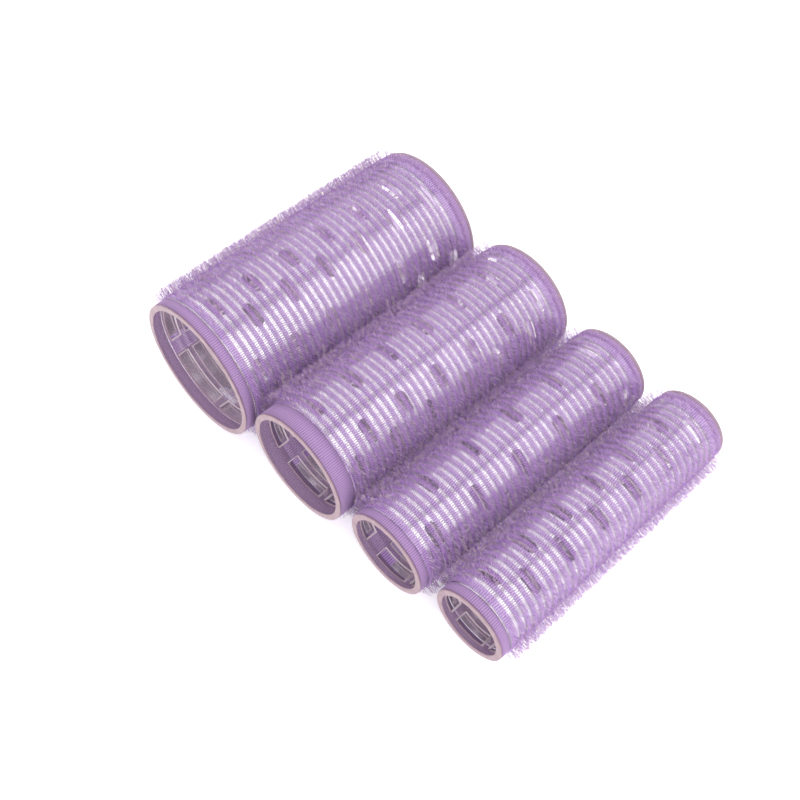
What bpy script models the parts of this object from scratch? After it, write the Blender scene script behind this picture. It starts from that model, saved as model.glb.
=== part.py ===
# A row of four self-grip hair rollers of graduated diameter, held side by side by their hooks.
# Each roller is a clear slotted core, a rolled perforated foil, a hook sleeve and two plain end bands.
# +Y runs along the rollers from their front ends, +X runs across the row, and Z is zero where they rest.

import math

import bmesh
import bpy
from mathutils import Matrix, Vector

# One length serves every diameter.
rollerLength = 0.063

# Radial build-up: the core's wall, foil and sleeve lie in the depth of the core's raised rims, and
# the hooks stand out past the rims by pileReach when they are pressed.
rimDepth = 0.0013
coreWall = 0.0006
layerGap = 0.0002
foilThickness = 0.0002
bandThickness = 0.00035
pileReach = 0.0009

# The raised rims' lengths, the slope behind them, and the gap between pieces along the roller.
frontRim = 0.0003
rearRim = 0.0006
rimSlope = 0.0001
edgeGap = 0.0003

# Slots in the core: short along the roller, long around it.
slotLength = 0.0022
barWidth = 0.0021
stepsPerSlot = 2

# Punched holes in the foil: stadiums drawn with six corners.
holeAround = 0.0053
holeAlong = 0.0025
holeEdgeMargin = 0.0008
punchReach = 0.0012

# The sides of the soft tubes, and the angle from which an edge is left sharp.
fabricSides = 32
sharpAngle = math.radians(40)

# Two fold lines of the foil are never closer together than this.
leastFold = math.radians(1.7)

# One dictionary per roller, from the widest to the narrowest. Angles are in degrees, taken round
# the axis with 0 at +X and 90 at the top. seamAngle and seamBar are the middle and the width of the
# bar under the foil's seam. The foil runs from foilStart to foilEnd, and its rows of holes come in
# pairs, half a pitch apart.
rollers = [
    {"name": "large", "rimRadius": 0.01514, "grooveGap": 0.0, "stagger": 0.0,
     "slotsAround": 6, "slotRows": 16, "slotMargin": 0.0030, "seamAngle": -153.5, "seamBar": 0.0039,
     "frontBand": 0.0026, "rearBand": 0.0026, "foilStart": -147, "foilEnd": 197,
     "rowPeriod": 60, "rowAngles": (87, 65), "firstHoles": (0.0064, 0.0110),
     "holePitch": 0.0092, "holesPerRow": 6},
    {"name": "medium", "rimRadius": 0.01219, "grooveGap": 0.0003, "stagger": 0.0005,
     "slotsAround": 6, "slotRows": 16, "slotMargin": 0.0030, "seamAngle": -138, "seamBar": 0.0039,
     "frontBand": 0.0040, "rearBand": 0.0022, "foilStart": -121, "foilEnd": 212,
     "rowPeriod": 72, "rowAngles": (97.5, 49), "firstHoles": (0.0068, 0.0114),
     "holePitch": 0.0092, "holesPerRow": 6},
    {"name": "small", "rimRadius": 0.00908, "grooveGap": 0.0008, "stagger": 0.0005,
     "slotsAround": 5, "slotRows": 17, "slotMargin": 0.0015, "seamAngle": -132.5, "seamBar": 0.0039,
     "frontBand": 0.0023, "rearBand": 0.0022, "foilStart": -97, "foilEnd": 213,
     "rowPeriod": 90, "rowAngles": (103, 48), "firstHoles": (0.0124, 0.0068),
     "holePitch": 0.0112, "holesPerRow": 5},
    {"name": "mini", "rimRadius": 0.00791, "grooveGap": 0.0011, "stagger": 0.0013,
     "slotsAround": 5, "slotRows": 17, "slotMargin": 0.0015, "seamAngle": -133, "seamBar": 0.0021,
     "frontBand": 0.0024, "rearBand": 0.0022, "foilStart": -14, "foilEnd": 330,
     "rowPeriod": 120, "rowAngles": (105.5, 62.5), "firstHoles": (0.0067, 0.0113),
     "holePitch": 0.0092, "holesPerRow": 6},
]


def clearScene():
    for item in list(bpy.data.objects):
        bpy.data.objects.remove(item, do_unlink=True)


def makeMaterial(name, color, roughness, metallic=0.0, transmission=0.0):
    material = bpy.data.materials.new(name)
    material.use_nodes = True
    shader = material.node_tree.nodes["Principled BSDF"]
    shader.inputs["Base Color"].default_value = (*color, 1)
    shader.inputs["Roughness"].default_value = roughness
    shader.inputs["Metallic"].default_value = metallic
    shader.inputs["Transmission Weight"].default_value = transmission
    material.diffuse_color = (*color, 1)
    return material


def addPiece(name, shape, material, holder):
    bmesh.ops.recalc_face_normals(shape, faces=shape.faces)
    for face in shape.faces:
        face.smooth = True
    for edge in shape.edges:
        edge.smooth = edge.calc_face_angle(0.0) < sharpAngle
    mesh = bpy.data.meshes.new(name)
    shape.to_mesh(mesh)
    shape.free()
    mesh.materials.append(material)
    piece = bpy.data.objects.new(name, mesh)
    bpy.context.collection.objects.link(piece)
    piece.parent = holder
    return piece


def ringPoint(radius, angle, station):
    # A point in a roller's own axes: its axis is Y, and its front end is at station 0.
    return Vector((radius * math.cos(angle), station, radius * math.sin(angle)))


# A wall of square cells, closed round the roller or cut along it, with some cells left open. Both
# skins have one radius for each station. It returns one closed shape.
def wallOfCells(innerRadii, outerRadii, angles, stations, isOpen, closedRound):
    shape = bmesh.new()
    skins = []
    for radii in (innerRadii, outerRadii):
        skins.append([[shape.verts.new(ringPoint(radius, angle, station))
                       for radius, station in zip(radii, stations)] for angle in angles])
    columns = len(angles) if closedRound else len(angles) - 1
    rows = len(stations) - 1

    def solid(column, row):
        if closedRound:
            column = column % columns
        inside = 0 <= column < columns and 0 <= row < rows
        return inside and not isOpen(column, row)

    def corner(skin, column, row):
        return skins[skin][column % len(angles)][row]

    def sideFace(first, second):
        shape.faces.new((corner(0, *first), corner(0, *second), corner(1, *second), corner(1, *first)))

    for column in range(columns):
        for row in range(rows):
            if not solid(column, row):
                continue
            around = ((column, row), (column + 1, row), (column + 1, row + 1), (column, row + 1))
            for skin in (0, 1):
                shape.faces.new([corner(skin, *place) for place in around])
            neighbours = ((column, row - 1), (column + 1, row), (column, row + 1), (column - 1, row))
            for index, place in enumerate(neighbours):
                if not solid(*place):
                    sideFace(around[index], around[(index + 1) % 4])
    return shape


# The angles at the edges of the bars and slots, starting at the wide bar, with each slot in steps.
def slotAngles(roller):
    radius = roller["rimRadius"] - rimDepth
    count = roller["slotsAround"]
    bar = barWidth / radius
    seamBar = roller["seamBar"] / radius
    slot = (2 * math.pi - seamBar - (count - 1) * bar) / count
    angle = math.radians(roller["seamAngle"]) - seamBar / 2
    angles = [angle]
    for index in range(count):
        angle += seamBar if index == 0 else bar
        for step in range(stepsPerSlot + 1):
            angles.append(angle + slot * step / stepsPerSlot)
        angle += slot
    return angles[:-1]


# The places along the core where its rims end, and where its slots start and end.
def coreStations(roller):
    rows = roller["slotRows"]
    margin = roller["slotMargin"]
    pitch = (rollerLength - 2 * margin - slotLength) / (rows - 1)
    stations = [0.0, frontRim, frontRim + rimSlope]
    for row in range(rows):
        stations += [margin + row * pitch, margin + row * pitch + slotLength]
    return stations + [rollerLength - rearRim - rimSlope, rollerLength - rearRim, rollerLength]


# The core: one clear tube, with rows of slots in its wall and a raised rim at each end.
def makeCore(roller, material, holder):
    stations = coreStations(roller)
    lastSlotRow = len(stations) - 5

    def isOpen(column, row):
        isSlotRow = 3 <= row <= lastSlotRow and row % 2 == 1
        return isSlotRow and column % (stepsPerSlot + 1) != 0

    radius = roller["rimRadius"]
    bore = radius - rimDepth
    wall = bore + coreWall
    outerRadii = [radius, radius] + [wall] * (len(stations) - 4) + [radius, radius]
    shape = wallOfCells([bore] * len(stations), outerRadii, slotAngles(roller), stations, isOpen, True)
    addPiece(roller["name"] + "_core", shape, material, holder)


# The middles of the foil's holes, as angle and station, leaving out rows that the cut edges cross.
def holePlaces(roller, radius):
    reach = math.degrees((holeAround / 2 + holeEdgeMargin) / radius)
    places = []
    for rowAngle, firstHole in zip(roller["rowAngles"], roller["firstHoles"]):
        for turn in range(-6, 7):
            angle = rowAngle + turn * roller["rowPeriod"]
            if angle - reach < roller["foilStart"] or angle + reach > roller["foilEnd"]:
                continue
            for hole in range(roller["holesPerRow"]):
                places.append((math.radians(angle), firstHole + hole * roller["holePitch"]))
    return places


# The punch that makes the holes: one six-sided prism for each, standing through the foil.
def makePunch(roller, radius, holder):
    shape = bmesh.new()
    straight = (holeAround - holeAlong) / 2
    outline = ((holeAround / 2, 0), (straight, holeAlong / 2), (-straight, holeAlong / 2),
               (-holeAround / 2, 0), (-straight, -holeAlong / 2), (straight, -holeAlong / 2))
    for angle, station in holePlaces(roller, radius):
        turn = Matrix.Rotation(-angle, 3, "Y")
        ends = []
        for height in (radius - punchReach, radius + punchReach):
            ends.append([shape.verts.new(turn @ Vector((height, station + along, around)))
                         for around, along in outline])
        shape.faces.new(ends[0])
        shape.faces.new(ends[1])
        for index in range(6):
            after = (index + 1) % 6
            shape.faces.new((ends[0][index], ends[0][after], ends[1][after], ends[1][index]))
    punch = addPiece(roller["name"] + "_punch", shape, None, holder)
    punch.hide_render = True
    punch.display_type = "WIRE"
    return punch


# The foil: a perforated sheet rolled round the core, with a gap where its two edges meet.
def makeFoil(roller, material, holder):
    radius = roller["rimRadius"] - rimDepth + coreWall + layerGap
    start = math.radians(roller["foilStart"])
    end = math.radians(roller["foilEnd"])
    inside = set()
    for angle in slotAngles(roller):
        for turn in (-1, 0, 1):
            place = angle + turn * 2 * math.pi
            if start + leastFold < place < end - leastFold:
                inside.add(round(place, 6))
    angles = [start] + sorted(inside) + [end]
    stations = [roller["frontBand"] + edgeGap * 2, rollerLength - roller["rearBand"] - edgeGap * 2]
    outside = radius + foilThickness
    shape = wallOfCells([radius] * 2, [outside] * 2, angles, stations, lambda column, row: False, False)
    foil = addPiece(roller["name"] + "_foil", shape, material, holder)
    cut = foil.modifiers.new("Holes", "BOOLEAN")
    cut.object = makePunch(roller, radius, holder)
    cut.solver = "EXACT"


def makeTube(name, innerRadius, outerRadius, front, rear, material, holder):
    angles = [2 * math.pi * side / fabricSides for side in range(fabricSides)]
    shape = wallOfCells([innerRadius] * 2, [outerRadius] * 2, angles, [front, rear],
                        lambda column, row: False, True)
    addPiece(name, shape, material, holder)


# The inside of the hook sleeve's fabric, just clear of the foil.
def fabricRadius(roller):
    return roller["rimRadius"] - rimDepth + coreWall + layerGap + foilThickness + layerGap


# The outside of the pressed hooks, which a roller rests on.
def pileRadius(roller):
    return roller["rimRadius"] + pileReach


# The hook sleeve, as one solid of fabric and hooks, and the plain bands that close its two ends
# straight onto the core, flush with the rims.
def makeCovers(roller, sleeveMaterial, bandMaterial, holder):
    name = roller["name"]
    frontEdge = roller["frontBand"]
    rearEdge = rollerLength - roller["rearBand"]
    makeTube(name + "_hook_sleeve", fabricRadius(roller), pileRadius(roller), frontEdge + edgeGap,
             rearEdge - edgeGap, sleeveMaterial, holder)
    outside = roller["rimRadius"]
    inside = outside - bandThickness
    makeTube(name + "_front_band", inside, outside, frontRim + edgeGap, frontEdge, bandMaterial, holder)
    makeTube(name + "_rear_band", inside, outside, rearEdge, rollerLength - rearRim - edgeGap,
             bandMaterial, holder)


# The middle of each roller's front end. Neighbours stand grooveGap apart, and each rests on Z zero.
def rollerPlaces():
    across = 0.0
    along = 0.0
    places = []
    for index, roller in enumerate(rollers):
        height = pileRadius(roller)
        if index > 0:
            before = pileRadius(rollers[index - 1])
            reach = before + height + roller["grooveGap"]
            across += math.sqrt(reach ** 2 - (before - height) ** 2)
            along += roller["stagger"]
        places.append(Vector((across, along, height)))
    middleAcross = (across + pileRadius(rollers[-1]) - pileRadius(rollers[0])) / 2
    middle = Vector((middleAcross, (along + rollerLength) / 2, 0))
    return [place - middle for place in places]


def buildRollers():
    for roller, place in zip(rollers, rollerPlaces()):
        name = roller["name"]
        holder = bpy.data.objects.new(name + "_axis", None)
        holder.location = place
        bpy.context.collection.objects.link(holder)
        makeCore(roller, makeMaterial(name + " core plastic", (0.72, 0.62, 0.66), 0.15, 0.0, 0.6), holder)
        makeFoil(roller, makeMaterial(name + " foil", (0.86, 0.84, 0.85), 0.25, 1.0), holder)
        makeCovers(roller, makeMaterial(name + " hook fabric", (0.43, 0.28, 0.58), 0.8),
                   makeMaterial(name + " band fabric", (0.47, 0.32, 0.63), 0.7), holder)


clearScene()
buildRollers()
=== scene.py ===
import math
import random

import bmesh
import bpy
from mathutils import Matrix, Vector


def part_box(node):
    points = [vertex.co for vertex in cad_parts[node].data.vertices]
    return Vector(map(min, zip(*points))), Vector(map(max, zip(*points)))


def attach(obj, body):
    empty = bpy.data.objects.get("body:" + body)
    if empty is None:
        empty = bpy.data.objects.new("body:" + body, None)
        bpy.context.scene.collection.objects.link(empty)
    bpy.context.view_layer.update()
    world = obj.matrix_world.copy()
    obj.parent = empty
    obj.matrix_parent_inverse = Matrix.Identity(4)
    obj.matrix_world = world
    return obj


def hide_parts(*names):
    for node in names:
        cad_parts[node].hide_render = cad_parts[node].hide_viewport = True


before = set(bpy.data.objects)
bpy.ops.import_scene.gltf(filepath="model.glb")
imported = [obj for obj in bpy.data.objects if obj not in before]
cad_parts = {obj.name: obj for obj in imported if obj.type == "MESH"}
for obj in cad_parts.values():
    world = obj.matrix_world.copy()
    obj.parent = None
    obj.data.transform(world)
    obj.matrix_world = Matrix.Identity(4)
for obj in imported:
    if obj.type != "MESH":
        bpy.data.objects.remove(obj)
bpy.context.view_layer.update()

# Four self-grip rollers in a row. Each has a clear slotted core, a bright perforated foil, bands of
# lavender weave joined by clear threads, a pile of nylon hooks and two plain end bands.
# Each roller is made with its axis on Y and its front end at zero, then moved to its place.

# How the rollers are built, as in the solid model, and what one roller has different from another.
# Sizes are in metres. Angles are in degrees round the axis, with 0 at +X and 90 at the top.
build = {
    "rimDepth": 0.0013,
    "coreWall": 0.0006,
    "frontRim": 0.0003,
    "rearRim": 0.0006,
    "slotLength": 0.0022,
    "barWidth": 0.0021,
    "pileReach": 0.0009,
}
rollers = [
    {"name": "large", "slotsAround": 6, "slotRows": 16, "slotMargin": 0.0030, "seamAngle": -153.5,
     "seamBar": 0.0039, "frontBand": 0.0026, "rearBand": 0.0026, "foilStart": -147, "foilEnd": 197,
     "rowPeriod": 60, "rowAngles": (87, 65), "firstHoles": (0.0064, 0.0110), "holePitch": 0.0092,
     "holesPerRow": 6, "thinGap": 0.0003, "firstGap": 0.00473, "bandPitch": 0.00173},
    {"name": "medium", "slotsAround": 6, "slotRows": 16, "slotMargin": 0.0030, "seamAngle": -138,
     "seamBar": 0.0039, "frontBand": 0.0040, "rearBand": 0.0022, "foilStart": -121, "foilEnd": 212,
     "rowPeriod": 72, "rowAngles": (97.5, 49), "firstHoles": (0.0068, 0.0114), "holePitch": 0.0092,
     "holesPerRow": 6, "thinGap": 0, "firstGap": 0.0048, "bandPitch": 0.00169},
    {"name": "small", "slotsAround": 5, "slotRows": 17, "slotMargin": 0.0015, "seamAngle": -132.5,
     "seamBar": 0.0039, "frontBand": 0.0023, "rearBand": 0.0022, "foilStart": -97, "foilEnd": 213,
     "rowPeriod": 90, "rowAngles": (103, 48), "firstHoles": (0.0124, 0.0068), "holePitch": 0.0112,
     "holesPerRow": 5, "thinGap": 0, "firstGap": 0.0040, "bandPitch": 0.00177},
    {"name": "mini", "slotsAround": 5, "slotRows": 17, "slotMargin": 0.0015, "seamAngle": -133,
     "seamBar": 0.0021, "frontBand": 0.0024, "rearBand": 0.0022, "foilStart": -14, "foilEnd": 330,
     "rowPeriod": 120, "rowAngles": (105.5, 62.5), "firstHoles": (0.0067, 0.0113), "holePitch": 0.0092,
     "holesPerRow": 6, "thinGap": 0.0003, "firstGap": 0.00464, "bandPitch": 0.00174},
]

# Where each roller lies: the sleeve's box gives the axis, the core's box the two ends.
for roller in rollers:
    sleeveLow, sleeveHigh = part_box(roller["name"] + "_hook_sleeve")
    coreLow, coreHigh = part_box(roller["name"] + "_core")
    middle = (Vector(sleeveLow) + Vector(sleeveHigh)) / 2
    roller["place"] = Vector((middle.x, coreLow[1], middle.z))
    roller["length"] = coreHigh[1] - coreLow[1]
    roller["rim"] = (sleeveHigh[0] - sleeveLow[0]) / 2 - build["pileReach"]
    roller["body"] = roller["name"] + "_roller"


def srgb(text):
    # A hex colour as Blender's linear colour.
    parts = [int(text[start:start + 2], 16) / 255 for start in (1, 3, 5)]
    linear = [part / 12.92 if part <= 0.04045 else ((part + 0.055) / 1.055) ** 2.4 for part in parts]
    return (*linear, 1.0)


def addNode(tree, kind, settings=None, inputs=None):
    # Settings are the node's own values. An input takes a value, or another node's output.
    node = tree.nodes.new(kind)
    for key, value in (settings or {}).items():
        setattr(node, key, value)
    for key, value in (inputs or {}).items():
        if isinstance(value, bpy.types.NodeSocket):
            tree.links.new(value, node.inputs[key])
        else:
            node.inputs[key].default_value = value
    return node


def newMaterial(name, values):
    material = bpy.data.materials.new(name)
    material.use_nodes = True
    shader = material.node_tree.nodes["Principled BSDF"]
    for key, value in values.items():
        shader.inputs[key].default_value = value
    return material, material.node_tree, shader


def addRamp(tree, factor, stops):
    ramp = addNode(tree, "ShaderNodeValToRGB", inputs={"Fac": factor})
    ramp.color_ramp.elements[0].position = stops[0][0]
    ramp.color_ramp.elements[0].color = srgb(stops[0][1])
    ramp.color_ramp.elements[1].position = stops[-1][0]
    ramp.color_ramp.elements[1].color = srgb(stops[-1][1])
    for position, color in stops[1:-1]:
        ramp.color_ramp.elements.new(position).color = srgb(color)
    return ramp.outputs["Color"]


def addPiece(name, shape, materials, roller, nodes):
    # Moves the finished shape to its roller's place and makes it a piece that rides on the roller.
    bmesh.ops.translate(shape, verts=shape.verts, vec=roller["place"])
    for face in shape.faces:
        face.smooth = True
    mesh = bpy.data.meshes.new(name)
    shape.to_mesh(mesh)
    shape.free()
    for material in materials:
        mesh.materials.append(material)
    piece = bpy.data.objects.new(name, mesh)
    bpy.context.collection.objects.link(piece)
    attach(piece, roller["body"])
    if nodes:
        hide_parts(*nodes)
    return piece


def roundMatrix(angle):
    # Turns a shape that stands at +X to its angle round the roller.
    return Matrix.Rotation(-angle, 4, "Y")


def spinRound(shape, geometry, angle, steps, closed=False):
    return bmesh.ops.spin(shape, geom=geometry, cent=(0, 0, 0), axis=(0, -1, 0), angle=angle,
                          steps=steps, use_merge=closed)


def angleOf(vert):
    return math.atan2(vert.co.z, vert.co.x)


def setRadius(vert, radius):
    factor = radius / math.hypot(vert.co.x, vert.co.z)
    vert.co.x *= factor
    vert.co.z *= factor


def faceOutwards(shape):
    # An open skin round the axis has its normals made to agree, and then turned away from the axis.
    bmesh.ops.recalc_face_normals(shape, faces=shape.faces)
    inward = 0
    for face in shape.faces:
        center = face.calc_center_median()
        if face.normal.x * center.x + face.normal.z * center.z < 0:
            inward += 1
    if inward > len(shape.faces) / 2:
        bmesh.ops.reverse_faces(shape, faces=shape.faces)


def unwrapRound(shape, ribCount):
    # U counts the ribs round the roller and V is millimetres along it.
    layer = shape.loops.layers.uv.new("UVMap")
    for face in shape.faces:
        turns = [angleOf(loop.vert) / (2 * math.pi) for loop in face.loops]
        if max(turns) - min(turns) > 0.5:
            turns = [turn + 1 if turn < 0 else turn for turn in turns]
        for loop, turn in zip(face.loops, turns):
            loop[layer].uv = (turn * ribCount, loop.vert.co.y * 1000)


camera = {
    "target": (-0.00055, -0.00804, 0.0150),
    "distance": 0.2211,
    "azimuth": 46.21,
    "elevation": 53.50,
    "lens": 51.16,
    "sensor": 36,
}
studio = {
    "worldColor": "#FBF4FB",
    "worldStrength": 0.46,
    "floorDrop": 0.00002,
    "floorSize": 4.0,
    "floorColor": "#F4F4F5",
    "floorGlow": 0.50,
    "lampDistance": 0.9,
    "lampMiddle": 0.35,
    "lampLength": 1.6,
    # Each lamp is a long soft panel beside the rollers, given by the angles it fills and its brightness.
    "lamps": [
        {"name": "low_softbox", "from": 2, "to": 21, "brightness": 0.90},
        {"name": "right_softbox", "from": 21, "to": 74, "brightness": 1.50},
        {"name": "left_softbox", "from": 86, "to": 165, "brightness": 1.10},
    ],
    # A softbox behind the camera fills the bores and the grooves between the rollers.
    "fill": {"size": 0.8, "distance": 1.0, "brightness": 1.5},
}


def towardsCamera():
    azimuth = math.radians(camera["azimuth"])
    elevation = math.radians(camera["elevation"])
    return Vector((math.sin(azimuth) * math.cos(elevation), -math.cos(azimuth) * math.cos(elevation),
                   math.sin(elevation)))


def addCamera():
    data = bpy.data.cameras.new("camera")
    data.lens = camera["lens"]
    data.sensor_width = camera["sensor"]
    data.clip_start = 0.005
    eye = bpy.data.objects.new("camera", data)
    bpy.context.collection.objects.link(eye)
    eye.location = Vector(camera["target"]) + towardsCamera() * camera["distance"]
    eye.rotation_euler = towardsCamera().to_track_quat("Z", "Y").to_euler()
    bpy.context.scene.camera = eye


def addStudio():
    world = bpy.data.worlds.new("white studio")
    bpy.context.scene.world = world
    world.use_nodes = True
    background = world.node_tree.nodes["Background"]
    background.inputs["Color"].default_value = srgb(studio["worldColor"])
    background.inputs["Strength"].default_value = studio["worldStrength"]
    for lamp in studio["lamps"]:
        data = bpy.data.lights.new(lamp["name"], "AREA")
        data.shape = "RECTANGLE"
        middle = math.radians((lamp["from"] + lamp["to"]) / 2)
        spread = math.radians((lamp["to"] - lamp["from"]) / 2)
        data.size = 2 * studio["lampDistance"] * math.tan(spread)
        data.size_y = studio["lampLength"]
        data.energy = lamp["brightness"] * math.pi * data.size * data.size_y
        light = bpy.data.objects.new(lamp["name"], data)
        light.location = (studio["lampDistance"] * math.cos(middle), studio["lampMiddle"],
                          studio["lampDistance"] * math.sin(middle))
        light.rotation_euler = (0, math.pi / 2 - middle, 0)
        bpy.context.collection.objects.link(light)
    fill = studio["fill"]
    data = bpy.data.lights.new("fill_softbox", "AREA")
    data.size = fill["size"]
    data.energy = fill["brightness"] * math.pi * fill["size"] ** 2
    light = bpy.data.objects.new("fill_softbox", data)
    light.location = towardsCamera() * fill["distance"]
    light.rotation_euler = towardsCamera().to_track_quat("Z", "Y").to_euler()
    bpy.context.collection.objects.link(light)
    shape = bmesh.new()
    bmesh.ops.create_grid(shape, x_segments=4, y_segments=4, size=studio["floorSize"] / 2)
    mesh = bpy.data.meshes.new("floor")
    shape.to_mesh(mesh)
    shape.free()
    floor = bpy.data.objects.new("floor", mesh)
    floor.location.z = -studio["floorDrop"]
    bpy.context.collection.objects.link(floor)
    material, tree, shader = newMaterial("white paper sweep", {
        "Base Color": srgb(studio["floorColor"]), "Roughness": 0.9, "Specular IOR Level": 0.1,
        "Emission Color": srgb("#FFFFFF"), "Emission Strength": studio["floorGlow"]})
    mesh.materials.append(material)
    bpy.context.scene.view_settings.view_transform = "Standard"


coreLook = {
    "barSteps": 2,
    "slotSteps": 8,
    "rimRounding": 0.00012,
    "slotRounding": 0.00020,
    "sharpAngle": 40,
    "wallColor": "#CBAFD0",
    # The rim colours are darkened as painted shade, and the slot-edge colours are lightened as a painted
    # glow.
    "rimShadeColor": "#A68893",
    "rimShadeHaze": "#B6989F",
    "slotGlowColor": "#EFDCE6",
    "slotGlowHaze": "#FBF0F5",
    "wallOpacity": 0.24,
    "edgeOpacity": 0.88,
    "roughness": 0.12,
    "edgeRoughness": 0.3,
    "index": 1.49,  # the usual value for clear polypropylene and acrylic
    "rippleScale": 900.0,  # about one ripple to a millimetre
    "rippleHeight": 0.00005,
    "hazeScale": 600.0,
    "slotReach": 0.0001,  # how far past the first and last slots their edges are looked for
    "flatness": 0.97,  # a face that leans more than this from the wall is an edge
}


def corePlastic():
    # Clear moulded plastic with a faint pink tint, seen through the thin wall.
    material, tree, shader = newMaterial("clear pink moulded plastic", {
        "Base Color": srgb(coreLook["wallColor"]), "Roughness": coreLook["roughness"],
        "IOR": coreLook["index"], "Alpha": coreLook["wallOpacity"]})
    place = addNode(tree, "ShaderNodeTexCoord").outputs["Object"]
    ripple = addNode(tree, "ShaderNodeTexNoise", inputs={
        "Vector": place, "Scale": coreLook["rippleScale"], "Detail": 2.0})
    bump = addNode(tree, "ShaderNodeBump", inputs={
        "Height": ripple.outputs["Fac"], "Strength": 0.15, "Distance": coreLook["rippleHeight"]})
    tree.links.new(bump.outputs["Normal"], shader.inputs["Normal"])
    return material


def coreEdgePlastic(name, color, hazeColor):
    # The same plastic at the rims and slot edges, where it is seen along its depth and turns milky. Its
    # colour is painted light: darker on the rims as painted shade, and near-white on the slot edges as a
    # painted glow.
    material, tree, shader = newMaterial(name, {
        "Roughness": coreLook["edgeRoughness"], "IOR": coreLook["index"],
        "Alpha": coreLook["edgeOpacity"]})
    place = addNode(tree, "ShaderNodeTexCoord").outputs["Object"]
    haze = addNode(tree, "ShaderNodeTexNoise", inputs={
        "Vector": place, "Scale": coreLook["hazeScale"], "Detail": 3.0})
    milky = addRamp(tree, haze.outputs["Fac"], ((0.35, color), (0.65, hazeColor)))
    tree.links.new(milky, shader.inputs["Base Color"])
    return material


def slotRanges(roller):
    margin = roller["slotMargin"]
    pitch = (roller["length"] - 2 * margin - build["slotLength"]) / (roller["slotRows"] - 1)
    return [(margin + row * pitch, margin + row * pitch + build["slotLength"])
            for row in range(roller["slotRows"])]


def makeCore(roller, wall, rim, slotEdgeGlow):
    bore = roller["rim"] - build["rimDepth"]
    outside = bore + build["coreWall"]
    slots = slotRanges(roller)
    stations = [0.0, build["frontRim"]]
    for slot in slots:
        stations += slot
    stations += [roller["length"] - build["rearRim"], roller["length"]]

    # One bar or slot after another is spun from the profile, and the slots' faces are taken out.
    shape = bmesh.new()
    profile = [shape.verts.new((bore, station, 0)) for station in stations]
    geometry = profile + [shape.edges.new(pair) for pair in zip(profile, profile[1:])]
    barAngle = build["barWidth"] / bore
    seamAngle = roller["seamBar"] / bore
    slotAngle = (2 * math.pi - seamAngle - (roller["slotsAround"] - 1) * barAngle) / roller["slotsAround"]
    first = math.radians(roller["seamAngle"]) - seamAngle / 2
    bmesh.ops.rotate(shape, verts=profile, cent=(0, 0, 0), matrix=roundMatrix(first))
    openFaces = []
    for index in range(roller["slotsAround"]):
        width = seamAngle if index == 0 else barAngle
        geometry = spinRound(shape, geometry, width, coreLook["barSteps"])["geom_last"]
        before = set(shape.faces)
        geometry = spinRound(shape, geometry, slotAngle, coreLook["slotSteps"])["geom_last"]
        for face in shape.faces:
            station = face.calc_center_median().y
            if face not in before and any(start < station < end for start, end in slots):
                openFaces.append(face)
    bmesh.ops.delete(shape, geom=openFaces, context="FACES")
    bmesh.ops.remove_doubles(shape, verts=shape.verts, dist=0.000002)
    faceOutwards(shape)

    # The wall gets its thickness outwards, and the two rims are raised from it.
    skin = shape.faces[:]
    extruded = bmesh.ops.extrude_face_region(shape, geom=skin, use_keep_orig=True)["geom"]
    for item in extruded:
        if isinstance(item, bmesh.types.BMVert):
            setRadius(item, outside)
    bmesh.ops.recalc_face_normals(shape, faces=shape.faces)
    rimFaces = []
    for face in shape.faces:
        center = face.calc_center_median()
        isAtRim = center.y < build["frontRim"] or center.y > roller["length"] - build["rearRim"]
        isOutside = math.hypot(center.x, center.z) > bore + build["coreWall"] / 2
        if isAtRim and isOutside and abs(face.normal.y) < 0.5:
            rimFaces.append(face)
    raised = bmesh.ops.extrude_face_region(shape, geom=rimFaces)["geom"]
    for item in raised:
        if isinstance(item, bmesh.types.BMVert):
            setRadius(item, roller["rim"])
    bmesh.ops.delete(shape, geom=rimFaces, context="FACES")
    bmesh.ops.recalc_face_normals(shape, faces=shape.faces)

    # Rims and slots are rounded. The rims take the milky material with its painted shade, and slot edges a
    # brighter one with a painted glow.
    firstSlot = slots[0][0] - coreLook["slotReach"]
    lastSlot = slots[-1][1] + coreLook["slotReach"]
    for isSlot, rounding in ((True, coreLook["slotRounding"]), (False, coreLook["rimRounding"])):
        sharp = []
        for edge in shape.edges:
            station = (edge.verts[0].co.y + edge.verts[1].co.y) / 2
            isSharp = edge.calc_face_angle(0) > math.radians(coreLook["sharpAngle"])
            if isSharp and isSlot == (firstSlot < station < lastSlot):
                sharp.append(edge)
        bmesh.ops.bevel(shape, geom=sharp, offset=rounding, segments=2, affect="EDGES", profile=0.5,
                        material=-1)
    for face in shape.faces:
        center = face.calc_center_median()
        outwards = Vector((center.x, 0, center.z)).normalized()
        if abs(face.normal.dot(outwards)) < coreLook["flatness"]:
            face.material_index = 2 if firstSlot < center.y < lastSlot else 1
    piece = addPiece(roller["name"] + "_clear_core", shape, (wall, rim, slotEdgeGlow), roller,
                     [roller["name"] + "_core"])
    piece.modifiers.new("Flat shading of walls", "WEIGHTED_NORMAL").keep_sharp = False
    return piece


foilLook = {
    "thickness": 0.00012,
    "depth": 0.00034,
    "stepAngle": 4.0,
    "holeAround": 0.0053,
    "holeAlong": 0.0025,
    "holeEdgeMargin": 0.0008,
    "holeCorners": 16,
    "punchReach": 0.0010,
    "edgeInset": 0.00015,
    "color": "#F1EDF2",
    "roughness": 0.20,
    "rollingScale": (3000.0, 90.0, 3000.0),  # lines a third of a millimetre apart, along the roller
    "dentScale": 260.0,  # dents about 4 mm across
    "dentHeight": 0.00012,
}


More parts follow.
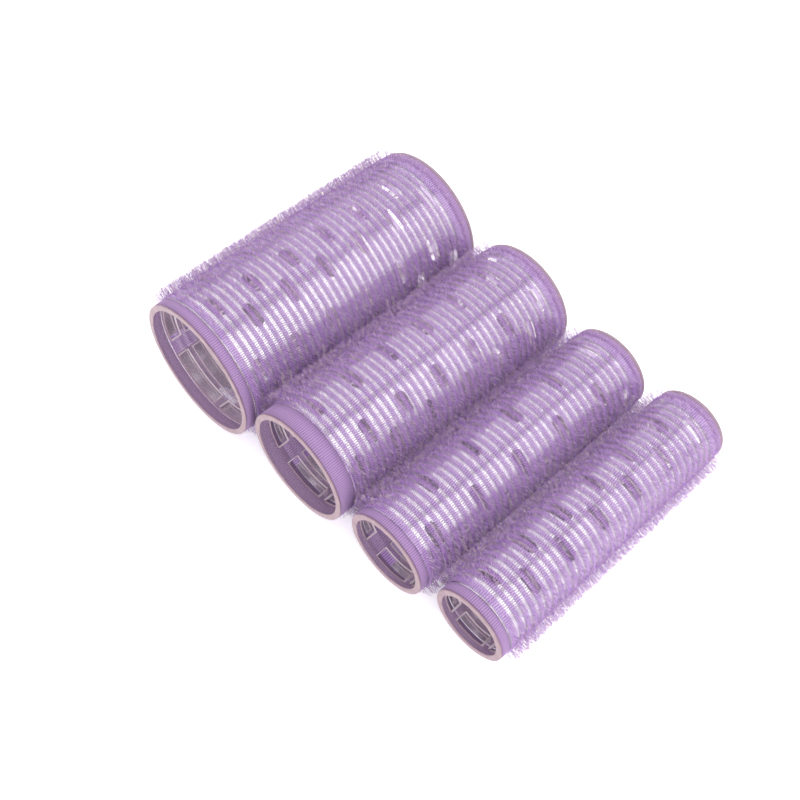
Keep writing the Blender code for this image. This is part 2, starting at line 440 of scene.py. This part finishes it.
def foilMetal():
    # Bright rolled aluminium foil with faint rolling lines and slight dents.
    material, tree, shader = newMaterial("bright rolled foil", {
        "Base Color": srgb(foilLook["color"]), "Metallic": 1.0})
    place = addNode(tree, "ShaderNodeTexCoord").outputs["Object"]
    lines = addNode(tree, "ShaderNodeMapping", inputs={"Vector": place, "Scale": foilLook["rollingScale"]})
    rolling = addNode(tree, "ShaderNodeTexNoise", inputs={
        "Vector": lines.outputs["Vector"], "Scale": 1.0, "Detail": 3.0})
    rough = addNode(tree, "ShaderNodeMapRange", inputs={
        "Value": rolling.outputs["Fac"], "To Min": foilLook["roughness"] - 0.06,
        "To Max": foilLook["roughness"] + 0.08})
    tree.links.new(rough.outputs["Result"], shader.inputs["Roughness"])
    dents = addNode(tree, "ShaderNodeTexNoise", inputs={
        "Vector": place, "Scale": foilLook["dentScale"], "Detail": 2.0})
    bump = addNode(tree, "ShaderNodeBump", inputs={
        "Height": dents.outputs["Fac"], "Strength": 0.35, "Distance": foilLook["dentHeight"]})
    tree.links.new(bump.outputs["Normal"], shader.inputs["Normal"])
    return material


def holePlaces(roller, radius):
    reach = math.degrees((foilLook["holeAround"] / 2 + foilLook["holeEdgeMargin"]) / radius)
    places = []
    for rowAngle, firstHole in zip(roller["rowAngles"], roller["firstHoles"]):
        for turn in range(-6, 7):
            angle = rowAngle + turn * roller["rowPeriod"]
            if roller["foilStart"] <= angle - reach and angle + reach <= roller["foilEnd"]:
                places += [(math.radians(angle), firstHole + hole * roller["holePitch"])
                           for hole in range(roller["holesPerRow"])]
    return places


def makePunch(roller, radius):
    # One round-ended prism for each hole: a circle pulled apart into a stadium and extruded.
    shape = bmesh.new()
    straight = (foilLook["holeAround"] - foilLook["holeAlong"]) / 2
    for angle, station in holePlaces(roller, radius):
        turn = roundMatrix(angle)
        disc = bmesh.ops.create_circle(shape, cap_ends=True, segments=foilLook["holeCorners"],
                                       radius=foilLook["holeAlong"] / 2)["verts"]
        for vert in disc:
            vert.co.x += math.copysign(straight, vert.co.x)
        stand = Matrix.Translation((radius - foilLook["punchReach"], station, 0)) @ Matrix(
            ((0, 0, 1, 0), (0, 1, 0, 0), (1, 0, 0, 0), (0, 0, 0, 1)))
        bmesh.ops.transform(shape, matrix=turn @ stand, verts=disc)
        cap = [face for face in disc[0].link_faces]
        raised = bmesh.ops.extrude_face_region(shape, geom=cap, use_keep_orig=True)["geom"]
        lift = turn @ Vector((2 * foilLook["punchReach"], 0, 0))
        bmesh.ops.translate(shape, vec=lift, verts=[
            item for item in raised if isinstance(item, bmesh.types.BMVert)])
    bmesh.ops.recalc_face_normals(shape, faces=shape.faces)
    mesh = bpy.data.meshes.new("punch")
    bmesh.ops.translate(shape, verts=shape.verts, vec=roller["place"])
    shape.to_mesh(mesh)
    shape.free()
    punch = bpy.data.objects.new("punch", mesh)
    bpy.context.collection.objects.link(punch)
    return punch


def applyModifiers(piece):
    evaluated = piece.evaluated_get(bpy.context.evaluated_depsgraph_get())
    mesh = bpy.data.meshes.new_from_object(evaluated)
    piece.modifiers.clear()
    piece.data = mesh


def makeFoil(roller, metal):
    radius = roller["rim"] - foilLook["depth"]
    front = roller["frontBand"] + foilLook["edgeInset"]
    rear = roller["length"] - roller["rearBand"] - foilLook["edgeInset"]
    shape = bmesh.new()
    corners = [shape.verts.new((height, station, 0)) for height, station in (
        (radius, front), (radius + foilLook["thickness"], front),
        (radius + foilLook["thickness"], rear), (radius, rear))]
    start = shape.faces.new(corners)
    bmesh.ops.rotate(shape, verts=corners, cent=(0, 0, 0),
                     matrix=roundMatrix(math.radians(roller["foilStart"])))
    sweep = roller["foilEnd"] - roller["foilStart"]
    spinRound(shape, [start], math.radians(sweep), round(sweep / foilLook["stepAngle"]))
    if not start.is_valid or all(len(edge.link_faces) < 2 for edge in start.edges):
        shape.faces.new(corners)
    bmesh.ops.recalc_face_normals(shape, faces=shape.faces)
    piece = addPiece(roller["name"] + "_rolled_foil", shape, (metal,), roller,
                     [roller["name"] + "_foil"])
    punch = makePunch(roller, radius)
    holes = piece.modifiers.new("Holes", "BOOLEAN")
    holes.object = punch
    holes.solver = "EXACT"
    applyModifiers(piece)
    bpy.data.objects.remove(punch, do_unlink=True)
    piece.data.shade_smooth()
    piece.data.set_sharp_from_angle(angle=math.radians(35))
    return piece


weave = {
    "gapWidth": 0.00085,
    "ribPitch": 0.00047,  # from one axial rib to the next
    "ribDepth": 0.00005,
    "bandInside": 0.0,
    "bandOutside": 0.0002,
    "edgeSlope": 0.00007,
    "leastStrip": 0.0003,
    # The weave's crest and furrow colours. The step from one to the other is painted shade in the furrows,
    # mixed with a random fibre tone.
    "light": "#E4BCF6",
    "dark": "#9262BA",
    "opacity": 0.56,
    "seamOpacity": 0.76,
    "seamInset": 0.00006,
    "seamSteps": 6,
    "pickSpacing": 0.16,  # millimetres from one cross yarn to the next
    "pickRelief": 0.35,
    "fibreScale": 2.2,
    "fibreContrast": 2.6,
    "threadWidth": 0.00013,
    "threadHeight": 0.00004,
    "threadInset": 0.0001,
    "threadLight": "#EDE2F3",
    "threadDark": "#CDB6DE",
    "threadOpacity": 0.5,
    "threadShadeScale": 1500.0,
    "nylonIndex": 1.53,
}


def wovenFabric(name, light, dark, opacity):
    # Lavender polyester weave with a fine yarn across the ribs. Its colour is painted shade in part: pale
    # on the rib crests and darker in the furrows, following the same relief as the bump, with a random
    # fibre tone on top.
    material, tree, shader = newMaterial(name, {
        "Roughness": 0.72, "Sheen Weight": 0.15, "Sheen Roughness": 0.4, "Specular IOR Level": 0.3,
        "Alpha": opacity})
    coordinates = addNode(tree, "ShaderNodeUVMap", {"uv_map": "UVMap"}).outputs["UV"]
    split = addNode(tree, "ShaderNodeSeparateXYZ", inputs={"Vector": coordinates})
    turn = addNode(tree, "ShaderNodeMath", {"operation": "MULTIPLY"}, {
        0: split.outputs["X"], 1: 2 * math.pi})
    rib = addNode(tree, "ShaderNodeMath", {"operation": "COSINE"}, {0: turn.outputs["Value"]})
    along = addNode(tree, "ShaderNodeMath", {"operation": "MULTIPLY"}, {
        0: split.outputs["Y"], 1: 2 * math.pi / weave["pickSpacing"]})
    pick = addNode(tree, "ShaderNodeMath", {"operation": "COSINE"}, {0: along.outputs["Value"]})
    relief = addNode(tree, "ShaderNodeMath", {"operation": "MULTIPLY_ADD"}, {
        0: pick.outputs["Value"], 1: weave["pickRelief"], 2: rib.outputs["Value"]})
    fibres = addNode(tree, "ShaderNodeTexNoise", inputs={
        "Vector": coordinates, "Scale": weave["fibreScale"], "Detail": 4.0, "Roughness": 0.7})
    mixed = addNode(tree, "ShaderNodeMath", {"operation": "MULTIPLY_ADD"}, {
        0: fibres.outputs["Fac"], 1: weave["fibreContrast"], 2: -weave["fibreContrast"] / 2})
    shadeAndFibreTone = addNode(tree, "ShaderNodeMath", {"operation": "ADD"}, {
        0: relief.outputs["Value"], 1: mixed.outputs["Value"]})
    level = addNode(tree, "ShaderNodeMapRange", inputs={
        "Value": shadeAndFibreTone.outputs["Value"], "From Min": -1.2, "From Max": 1.2})
    # The ramp paints shade into the furrows: darker where the relief is low, lighter on the crests, with
    # the random fibre tone mixed in.
    color = addRamp(tree, level.outputs["Result"], ((0.0, dark), (1.0, light)))
    tree.links.new(color, shader.inputs["Base Color"])
    bump = addNode(tree, "ShaderNodeBump", inputs={
        "Height": relief.outputs["Value"], "Strength": 0.5, "Distance": 0.00005})
    tree.links.new(bump.outputs["Normal"], shader.inputs["Normal"])
    return material


def clearThread():
    # Clear lavender-tinted monofilament that joins one band to the next.
    material, tree, shader = newMaterial("clear warp thread", {
        "Roughness": 0.2, "IOR": weave["nylonIndex"], "Alpha": weave["threadOpacity"]})
    place = addNode(tree, "ShaderNodeTexCoord").outputs["Object"]
    shade = addNode(tree, "ShaderNodeTexNoise", inputs={
        "Vector": place, "Scale": weave["threadShadeScale"]})
    color = addRamp(tree, shade.outputs["Fac"], ((0.3, weave["threadDark"]), (0.7, weave["threadLight"])))
    tree.links.new(color, shader.inputs["Base Color"])
    return material


def bandRanges(roller):
    # The woven strips between the clear gaps, from the front end band to the rear one.
    front = roller["frontBand"]
    rear = roller["length"] - roller["rearBand"]
    edges = [front + roller["thinGap"]]
    gap = roller["firstGap"]
    while gap + weave["gapWidth"] / 2 < rear - weave["leastStrip"]:
        edges += [gap - weave["gapWidth"] / 2, gap + weave["gapWidth"] / 2]
        gap += roller["bandPitch"]
    edges.append(rear)
    return [(start, end) for start, end in zip(edges[::2], edges[1::2])
            if end - start > weave["leastStrip"] and end <= rear + 0.000001]


def ribCountOf(roller):
    return round(2 * math.pi * (roller["rim"] + weave["bandOutside"]) / weave["ribPitch"])


def ribShape(shape, base, ribCount, depth, chance):
    # Every other line of points stands up as a rib, none quite like the next.
    for vert in shape.verts:
        radius = math.hypot(vert.co.x, vert.co.z)
        if radius > base:
            crest = math.cos(angleOf(vert) * ribCount)
            setRadius(vert, radius + depth * crest + chance.uniform(-0.15, 0.15) * depth)
            vert.co.y += chance.uniform(-0.12, 0.12) * depth


def makeTape(shape, spans, inside, outside, slope, ribCount, sides=4):
    # One profile for each span, spun round together with two steps to a rib. Three sides leave a
    # strip of thin cloth open underneath, and four close it.
    geometry = []
    for start, end in spans:
        corners = [shape.verts.new((height, station, 0)) for height, station in (
            (inside, start), (outside, start + slope), (outside, end - slope), (inside, end))]
        geometry += corners
        geometry += [shape.edges.new((corners[index], corners[(index + 1) % 4])) for index in range(sides)]
    spinRound(shape, geometry, 2 * math.pi, 2 * ribCount, True)


def makeSleeve(roller, fabric, overlap, thread, chance):
    ribCount = ribCountOf(roller)
    inside = roller["rim"] + weave["bandInside"]
    outside = roller["rim"] + weave["bandOutside"]
    spans = bandRanges(roller)
    shape = bmesh.new()
    makeTape(shape, spans, inside, outside, weave["edgeSlope"], ribCount, 3)
    ribShape(shape, (inside + outside) / 2, ribCount, weave["ribDepth"], chance)

    # The weave overlaps itself where the foil's edges leave a gap.
    seam = math.radians((roller["foilStart"] + roller["foilEnd"] - 360) / 2)
    seamHalf = math.radians((roller["foilStart"] + 360 - roller["foilEnd"]) / 2)
    ends = [shape.verts.new((inside - weave["seamInset"], station, 0))
            for station in (spans[0][0], spans[-1][1])]
    bmesh.ops.rotate(shape, verts=ends, cent=(0, 0, 0), matrix=roundMatrix(seam - seamHalf))
    spinRound(shape, ends + [shape.edges.new(ends)], 2 * seamHalf, weave["seamSteps"])
    for face in shape.faces:
        center = face.calc_center_median()
        away = (math.atan2(center.z, center.x) - seam + math.pi) % (2 * math.pi) - math.pi
        face.material_index = 1 if abs(away) < seamHalf else 0
    faceOutwards(shape)
    unwrapRound(shape, ribCount)
    sleeve = addPiece(roller["name"] + "_woven_bands", shape, (fabric, overlap), roller,
                      [roller["name"] + "_hook_sleeve"])

    # One three-sided thread under each rib, turned round the roller.
    shape = bmesh.new()
    front = roller["frontBand"] + weave["threadInset"]
    rear = roller["length"] - roller["rearBand"] - weave["threadInset"]
    base = roller["rim"]
    half = weave["threadWidth"] / 2
    corners = [shape.verts.new((base + height, front, side)) for height, side in (
        (0, -half), (weave["threadHeight"], 0), (0, half))]
    end = shape.faces.new(corners)
    drawn = bmesh.ops.extrude_face_region(shape, geom=[end], use_keep_orig=True)["geom"]
    bmesh.ops.translate(shape, vec=(0, rear - front, 0), verts=[
        item for item in drawn if isinstance(item, bmesh.types.BMVert)])
    bmesh.ops.spin(shape, geom=shape.verts[:] + shape.edges[:] + shape.faces[:], cent=(0, 0, 0),
                   axis=(0, -1, 0), angle=2 * math.pi * (ribCount - 1) / ribCount, steps=ribCount - 1,
                   use_duplicate=True)
    bmesh.ops.recalc_face_normals(shape, faces=shape.faces)
    threads = addPiece(roller["name"] + "_clear_threads", shape, (thread,), roller, [])
    return sleeve, threads, spans, 2 * seamHalf * inside


hookLook = {
    "thickness": 0.00006,
    "stem": 0.00160,
    "curlRadius": 0.00028,
    "curlAngle": 200,
    "curlSteps": 2,
    "hooksPerRib": 2.6,
    "rootDepth": 0.00008,
    "lean": 12,
    "twist": 35,
    "spacingChange": 0.4,  # share of the step from one hook to the next
    "placeChange": 0.35,  # share of the band's width
    "sizeChange": 0.2,
    "leastHeight": 0.00006,
    "neighbourGap": 0.0003,
    "light": "#E6D0D4",
    "dark": "#B686E2",
    "shadeScale": 1300.0,  # about as fine as one hook
    "opacity": 1.0,
}


def hookNylon():
    # Clear nylon hooks. They are drawn solid, because thousands of clear ones in a line turn dark.
    material, tree, shader = newMaterial("clear nylon hook", {
        "Roughness": 0.22, "IOR": weave["nylonIndex"], "Alpha": hookLook["opacity"]})
    place = addNode(tree, "ShaderNodeTexCoord").outputs["Object"]
    shade = addNode(tree, "ShaderNodeTexNoise", inputs={
        "Vector": place, "Scale": hookLook["shadeScale"], "Detail": 2.0})
    color = addRamp(tree, shade.outputs["Fac"], ((0.35, hookLook["dark"]), (0.65, hookLook["light"])))
    tree.links.new(color, shader.inputs["Base Color"])
    return material


def hookTemplate():
    # A three-sided strand that stands up and curls over, with its foot at the origin and up as +X.
    shape = bmesh.new()
    ring = bmesh.ops.create_circle(shape, cap_ends=True, segments=3,
                                   radius=hookLook["thickness"] / 2)["verts"]
    bmesh.ops.rotate(shape, verts=ring, cent=(0, 0, 0), matrix=Matrix.Rotation(math.radians(90), 3, "Y"))
    raised = bmesh.ops.extrude_edge_only(shape, edges=shape.edges[:])["geom"]
    bmesh.ops.translate(shape, vec=(hookLook["stem"], 0, 0), verts=[
        item for item in raised if isinstance(item, bmesh.types.BMVert)])
    top = [item for item in raised if not isinstance(item, bmesh.types.BMFace)]
    curled = bmesh.ops.spin(shape, geom=top, cent=(hookLook["stem"], 0, hookLook["curlRadius"]),
                            axis=(0, -1, 0), angle=math.radians(hookLook["curlAngle"]),
                            steps=hookLook["curlSteps"])["geom_last"]
    tip = [item for item in curled if isinstance(item, bmesh.types.BMEdge)]
    bmesh.ops.edgeloop_fill(shape, edges=tip)
    bmesh.ops.recalc_face_normals(shape, faces=shape.faces)
    if shape.calc_volume(signed=True) < 0:
        bmesh.ops.reverse_faces(shape, faces=shape.faces)
    return shape


def makeHooks(roller, half, spans, nylon, chance):
    ribCount = ribCountOf(roller)
    foot = roller["rim"] + weave["bandOutside"] - hookLook["rootDepth"]
    template = hookTemplate()
    templateMesh = bpy.data.meshes.new("hook")
    template.to_mesh(templateMesh)
    template.free()
    whole = bmesh.new()
    hookCount = round(ribCount * hookLook["hooksPerRib"])
    aside = hookLook["spacingChange"]
    along = hookLook["placeChange"]
    for start, end in spans:
        row = bmesh.new()
        for hook in range(hookCount):
            before = len(row.verts)
            row.from_mesh(templateMesh)
            row.verts.ensure_lookup_table()
            angle = 2 * math.pi * (hook + chance.uniform(-aside, aside)) / hookCount
            station = (start + end) / 2 + chance.uniform(-along, along) * (end - start)
            side = 0 if chance.random() < 0.5 else 180
            size = 1 + chance.uniform(-1, 1) * hookLook["sizeChange"]
            lean = Matrix.Rotation(math.radians(chance.gauss(0, hookLook["lean"])), 4, "Z")
            twist = Matrix.Rotation(math.radians(side + chance.gauss(0, hookLook["twist"])), 4, "X")
            stand = Matrix.Translation((foot, station, 0))
            matrix = roundMatrix(angle) @ stand @ lean @ twist @ Matrix.Scale(size, 4)
            for vert in row.verts[before:]:
                vert.co = matrix @ vert.co
        rowMesh = bpy.data.meshes.new("row")
        row.to_mesh(rowMesh)
        row.free()
        whole.from_mesh(rowMesh)
        bpy.data.meshes.remove(rowMesh)
    bpy.data.meshes.remove(templateMesh)

    # Hooks are pressed flat under the roller where it rests, and aside by the weave of a neighbour.
    lowest = hookLook["leastHeight"] - roller["place"].z
    for neighbour in rollers:
        if neighbour is roller:
            continue
        middle = neighbour["place"] - roller["place"]
        clear = neighbour["rim"] + hookLook["neighbourGap"]
        for vert in whole.verts:
            across, up = vert.co.x - middle.x, vert.co.z - middle.z
            away = math.hypot(across, up)
            if away < clear:
                vert.co.x = middle.x + across * clear / away
                vert.co.z = middle.z + up * clear / away
    for vert in whole.verts:
        vert.co.z = max(vert.co.z, lowest)
    return addPiece(roller["name"] + "_" + half + "_hooks", whole, (nylon,), roller, [])


endBandLook = {
    "thickness": 0.00035,
    "rimGap": 0.00004,
    "edgeSlope": 0.00010,
    "ribDepth": 0.00004,
    # The end tape's crest and furrow colours. The step between them is painted shade in the furrows, mixed
    # with a random fibre tone.
    "light": "#B395BE",
    "dark": "#866899",
}


def makeEndBand(roller, end, fabric, chance):
    length = roller["length"]
    if end == "front":
        span = (build["frontRim"] + endBandLook["rimGap"], roller["frontBand"])
    else:
        span = (length - roller["rearBand"], length - build["rearRim"] - endBandLook["rimGap"])
    outside = roller["rim"] - endBandLook["ribDepth"] * 0.5
    inside = outside - endBandLook["thickness"]
    ribCount = ribCountOf(roller)
    shape = bmesh.new()
    makeTape(shape, [span], inside, outside, endBandLook["edgeSlope"], ribCount)
    ribShape(shape, (inside + outside) / 2, ribCount, endBandLook["ribDepth"], chance)
    bmesh.ops.recalc_face_normals(shape, faces=shape.faces)
    unwrapRound(shape, ribCount)
    name = roller["name"] + "_" + end
    return addPiece(name + "_end_tape", shape, (fabric,), roller, [name + "_band"])


addCamera()
addStudio()
print("camera, lights and floor are set")

materials = {
    "wall": corePlastic(),
    # The rim material is darker as painted shade, and the slot-edge material brighter as a painted glow.
    "rim": coreEdgePlastic("moulded plastic rim with painted shade", coreLook["rimShadeColor"], coreLook["rimShadeHaze"]),
    "slotEdgeGlow": coreEdgePlastic("moulded plastic slot edge with painted glow", coreLook["slotGlowColor"], coreLook["slotGlowHaze"]),
    "foil": foilMetal(),
    "sleeve": wovenFabric("lavender hook weave", weave["light"], weave["dark"], weave["opacity"]),
    "overlap": wovenFabric("lavender hook weave overlap", weave["light"], weave["dark"],
                           weave["seamOpacity"]),
    "tape": wovenFabric("lavender end tape", endBandLook["light"], endBandLook["dark"], 1.0),
    "thread": clearThread(),
    "hook": hookNylon(),
}
firstSeed = 20
for number, roller in enumerate(rollers):
    chance = random.Random(firstSeed + number)
    makeCore(roller, materials["wall"], materials["rim"], materials["slotEdgeGlow"])
    foil = makeFoil(roller, materials["foil"])
    sleeve, threads, spans, overlap = makeSleeve(roller, materials["sleeve"], materials["overlap"],
                                                 materials["thread"], chance)
    middle = len(spans) // 2
    frontHooks = makeHooks(roller, "front", spans[:middle], materials["hook"], chance)
    rearHooks = makeHooks(roller, "rear", spans[middle:], materials["hook"], chance)
    for end in ("front", "rear"):
        makeEndBand(roller, end, materials["tape"], chance)
    print(roller["name"], "roller is made, with", len(spans), "bands")
